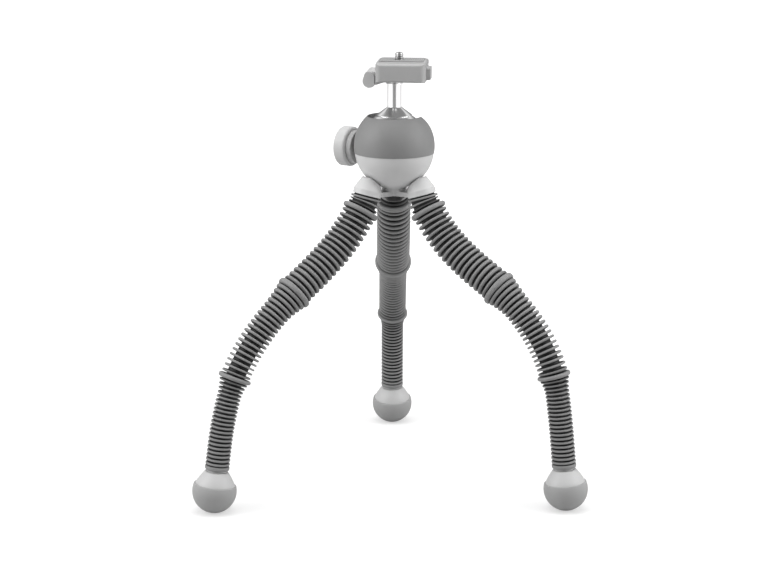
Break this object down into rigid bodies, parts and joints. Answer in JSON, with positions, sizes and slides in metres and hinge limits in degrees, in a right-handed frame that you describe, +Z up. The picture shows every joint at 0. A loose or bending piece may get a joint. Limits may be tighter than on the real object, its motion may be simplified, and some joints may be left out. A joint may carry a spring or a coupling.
{
  "type": "flexible leg tripod",
  "caption": "Small camera tripod with flexible ribbed legs on round rubber feet, a ball head with a side locking knob, and a quick-release clamp carrying a camera screw.",
  "frame": {"origin": "on the floor, under the middle of the part's box", "axes": "+Z up along the camera screw, -Y towards the front, where two feet stand left and right, +X to the front's right"},
  "size_m": [0.2898, 0.264, 0.3279],
  "materials": {
    "hub": "satin",
    "steel": "turned",
    "cover": "matt",
    "bowl": "satin silver",
    "housing": "fine matt",
    "liner": "plain",
    "stem": "polished",
    "knob": "satin",
    "knob_ring": "satin",
    "clamp": "fine matt",
    "lever": "satin",
    "button": "satin",
    "plate": "satin",
    "pad": "ribbed",
    "link": "plain",
    "sleeve": "moulded ribs",
    "foot_cap": "satin",
    "foot_pad": "fine matt"
  },
  "bodies": {
    "hub": {"hub": "hub", "shoulder_studs": "steel", "head_stud": "steel", "hub_cover": "cover"},
    "housing": {"lower_bowl": "bowl", "upper_housing": "housing", "socket_liner": "liner"},
    "ball": {"ball_stem": "stem", "clamp_bolt": "steel"},
    "clamp": {"clamp_body": "clamp", "lever_pin": "steel", "button_spring": "steel"},
    "knob": {"lock_knob": "knob", "knob_ring": "knob_ring", "knob_screw": "steel"},
    "shoe": {"brake_shoe": "liner"},
    "lever": {"lock_lever": "lever"},
    "button": {"release_button": "button"},
    "plate": {"quick_release_plate": "plate", "plate_pad": "pad"},
    "screw": {"camera_screw": "steel"},
    "left_1": {"left_link_1": "link"},
    "left_2": {"left_link_2": "link", "left_upper_sleeve": "sleeve"},
    "left_3": {"left_link_3": "link"},
    "left_4": {"left_link_4": "link"},
    "left_5": {"left_link_5": "link", "left_middle_sleeve": "sleeve"},
    "left_6": {"left_link_6": "link"},
    "left_7": {"left_link_7": "link"},
    "left_8": {"left_link_8": "link", "left_lower_sleeve": "sleeve", "left_foot_cap": "foot_cap", "left_foot_pad": "foot_pad"},
    "right_1": {"right_link_1": "link"},
    "right_2": {"right_link_2": "link", "right_upper_sleeve": "sleeve"},
    "right_3": {"right_link_3": "link"},
    "right_4": {"right_link_4": "link"},
    "right_5": {"right_link_5": "link", "right_middle_sleeve": "sleeve"},
    "right_6": {"right_link_6": "link"},
    "right_7": {"right_link_7": "link"},
    "right_8": {"right_link_8": "link", "right_lower_sleeve": "sleeve", "right_foot_cap": "foot_cap", "right_foot_pad": "foot_pad"},
    "rear_1": {"rear_link_1": "link"},
    "rear_2": {"rear_link_2": "link", "rear_upper_sleeve": "sleeve"},
    "rear_3": {"rear_link_3": "link"},
    "rear_4": {"rear_link_4": "link"},
    "rear_5": {"rear_link_5": "link", "rear_middle_sleeve": "sleeve"},
    "rear_6": {"rear_link_6": "link"},
    "rear_7": {"rear_link_7": "link"},
    "rear_8": {"rear_link_8": "link", "rear_lower_sleeve": "sleeve", "rear_foot_cap": "foot_cap", "rear_foot_pad": "foot_pad"}
  },
  "joints": [
    {"name": "head_pan", "type": "hinge", "parent": "hub", "child": "housing", "pos_m": [0.00259, -0.03812, 0.2584], "axis": [0, 0, 1], "continuous": true},
    {"name": "head_tilt", "type": "hinge", "parent": "housing", "child": "ball", "pos_m": [0.00259, -0.03812, 0.2584], "axis": [-0.5, 0.866, 0], "range_deg": [-15, 70]},
    {"name": "clamp_turn", "type": "hinge", "parent": "ball", "child": "clamp", "pos_m": [0.00259, -0.03812, 0.3075], "axis": [0, 0, 1], "continuous": true},
    {"name": "knob_turn", "type": "hinge", "parent": "housing", "child": "knob", "pos_m": [-0.02772, -0.02062, 0.255], "axis": [-0.866, 0.5, 0], "range_deg": [0, 216]},
    {"name": "shoe_slide", "type": "slide", "parent": "housing", "child": "shoe", "axis": [-0.866, 0.5, 0], "range_m": [0, 0.0006]},
    {"name": "lever_flip", "type": "hinge", "parent": "clamp", "child": "lever", "pos_m": [-0.00677, -0.03721, 0.314], "axis": [0.0958, 0.9954, 0], "range_deg": [0, 45]},
    {"name": "button_press", "type": "slide", "parent": "clamp", "child": "button", "axis": [-0.9954, 0.0958, 0], "range_m": [0, 0.002], "stiffness_N_per_m": 1500, "springref_m": -0.001, "deforming": ["button_spring"]},
    {"name": "plate_slide", "type": "slide", "parent": "clamp", "child": "plate", "axis": [0.9954, -0.0958, 0], "range_m": [0, 0.04]},
    {"name": "camera_screw_turn", "type": "hinge", "parent": "plate", "child": "screw", "pos_m": [0.00617, -0.03846, 0.3219], "axis": [0, 0, 1], "continuous": true},
    {"name": "left_bend_1", "type": "hinge", "parent": "hub", "child": "left_1", "pos_m": [-0.01957, -0.05122, 0.21671], "axis": [-0.509, 0.8607, 0], "range_deg": [-43.21, 8.79], "deforming": ["left_upper_sleeve"]},
    {"name": "left_bend_2", "type": "hinge", "parent": "left_1", "child": "left_2", "pos_m": [-0.03336, -0.05938, 0.19314], "axis": [0.509, -0.8607, 0], "range_deg": [-13, 39], "deforming": ["left_upper_sleeve"]},
    {"name": "left_sway_3", "type": "hinge", "parent": "left_2", "child": "left_3", "pos_m": [-0.05137, -0.07003, 0.17378], "axis": [-0.5508, -0.3257, 0.7684], "range_deg": [-22, 22], "deforming": ["left_upper_sleeve"]},
    {"name": "left_bend_4", "type": "hinge", "parent": "left_3", "child": "left_4", "pos_m": [-0.07101, -0.08165, 0.15671], "axis": [-0.509, 0.8607, 0], "range_deg": [-22, 30], "deforming": ["left_upper_sleeve", "left_middle_sleeve"]},
    {"name": "left_bend_5", "type": "hinge", "parent": "left_4", "child": "left_5", "pos_m": [-0.08796, -0.09167, 0.13973], "axis": [0.509, -0.8607, 0], "range_deg": [-34, 18], "deforming": ["left_middle_sleeve"]},
    {"name": "left_sway_6", "type": "hinge", "parent": "left_5", "child": "left_6", "pos_m": [-0.10271, -0.10039, 0.12017], "axis": [-0.6945, -0.4107, 0.5908], "range_deg": [-22, 22], "deforming": ["left_middle_sleeve"]},
    {"name": "left_bend_7", "type": "hinge", "parent": "left_6", "child": "left_7", "pos_m": [-0.1143, -0.10725, 0.09793], "axis": [-0.509, 0.8607, 0], "range_deg": [-11, 41], "deforming": ["left_middle_sleeve", "left_lower_sleeve"]},
    {"name": "left_bend_8", "type": "hinge", "parent": "left_7", "child": "left_8", "pos_m": [-0.12248, -0.11208, 0.06529], "axis": [0.509, -0.8607, 0], "range_deg": [-34, 18], "deforming": ["left_lower_sleeve"]},
    {"name": "right_bend_1", "type": "hinge", "parent": "hub", "child": "right_1", "pos_m": [0.02502, -0.05076, 0.21671], "axis": [-0.4909, -0.8712, 0], "range_deg": [-43.58, 8.42], "deforming": ["right_upper_sleeve"]},
    {"name": "right_bend_2", "type": "hinge", "parent": "right_1", "child": "right_2", "pos_m": [0.03911, -0.0587, 0.19324], "axis": [0.4909, 0.8712, 0], "range_deg": [-10, 42], "deforming": ["right_upper_sleeve"]},
    {"name": "right_sway_3", "type": "hinge", "parent": "right_2", "child": "right_3", "pos_m": [0.05829, -0.0695, 0.17514], "axis": [0.5049, -0.2845, 0.8149], "range_deg": [-22, 22], "deforming": ["right_upper_sleeve"]},
    {"name": "right_bend_4", "type": "hinge", "parent": "right_3", "child": "right_4", "pos_m": [0.07948, -0.08144, 0.16029], "axis": [-0.4909, -0.8712, 0], "range_deg": [-17, 35], "deforming": ["right_upper_sleeve", "right_middle_sleeve"]},
    {"name": "right_bend_5", "type": "hinge", "parent": "right_4", "child": "right_5", "pos_m": [0.09673, -0.09116, 0.14343], "axis": [0.4909, 0.8712, 0], "range_deg": [-38, 14], "deforming": ["right_middle_sleeve"]},
    {"name": "right_sway_6", "type": "hinge", "parent": "right_5", "child": "right_6", "pos_m": [0.11054, -0.09895, 0.12283], "axis": [0.7461, -0.4204, 0.5163], "range_deg": [-22, 22], "deforming": ["right_middle_sleeve"]},
    {"name": "right_bend_7", "type": "hinge", "parent": "right_6", "child": "right_7", "pos_m": [0.11997, -0.10426, 0.09918], "axis": [-0.4909, -0.8712, 0], "range_deg": [-10, 42], "deforming": ["right_middle_sleeve", "right_lower_sleeve"]},
    {"name": "right_bend_8", "type": "hinge", "parent": "right_7", "child": "right_8", "pos_m": [0.12439, -0.10675, 0.06556], "axis": [0.4909, 0.8712, 0], "range_deg": [-29, 23], "deforming": ["right_lower_sleeve"]},
    {"name": "rear_bend_1", "type": "hinge", "parent": "hub", "child": "rear_1", "pos_m": [0.00232, -0.01237, 0.21671], "axis": [0.9999, 0.0105, 0], "range_deg": [-38.69, 13.31], "deforming": ["rear_upper_sleeve"]},
    {"name": "rear_bend_2", "type": "hinge", "parent": "rear_1", "child": "rear_2", "pos_m": [0.00217, 0.00174, 0.19195], "axis": [-0.9999, -0.0105, 0], "range_deg": [-12, 40], "deforming": ["rear_upper_sleeve"]},
    {"name": "rear_sway_3", "type": "hinge", "parent": "rear_2", "child": "rear_3", "pos_m": [0.00197, 0.02143, 0.17134], "axis": [-0.0072, 0.686, 0.7276], "range_deg": [-22, 22], "deforming": ["rear_upper_sleeve"]},
    {"name": "rear_bend_4", "type": "hinge", "parent": "rear_3", "child": "rear_4", "pos_m": [0.00174, 0.04316, 0.1529], "axis": [0.9999, 0.0105, 0], "range_deg": [-26, 26], "deforming": ["rear_upper_sleeve", "rear_middle_sleeve"]},
    {"name": "rear_bend_5", "type": "hinge", "parent": "rear_4", "child": "rear_5", "pos_m": [0.00153, 0.06298, 0.13608], "axis": [-0.9999, -0.0105, 0], "range_deg": [-30, 22], "deforming": ["rear_middle_sleeve"]},
    {"name": "rear_sway_6", "type": "hinge", "parent": "rear_5", "child": "rear_6", "pos_m": [0.00134, 0.08159, 0.11791], "axis": [-0.0078, 0.7409, 0.6715], "range_deg": [-22, 22], "deforming": ["rear_middle_sleeve"]},
    {"name": "rear_bend_7", "type": "hinge", "parent": "rear_6", "child": "rear_7", "pos_m": [0.00117, 0.09784, 0.09762], "axis": [0.9999, 0.0105, 0], "range_deg": [-5, 47], "deforming": ["rear_middle_sleeve", "rear_lower_sleeve"]},
    {"name": "rear_bend_8", "type": "hinge", "parent": "rear_7", "child": "rear_8", "pos_m": [0.00106, 0.10816, 0.06523], "axis": [-0.9999, -0.0105, 0], "range_deg": [-35, 17], "deforming": ["rear_lower_sleeve"]}
  ],
  "couplings": [
    {"joint": "shoe_slide", "follows": "knob_turn", "m_per_rad": 0.00015915}
  ]
}
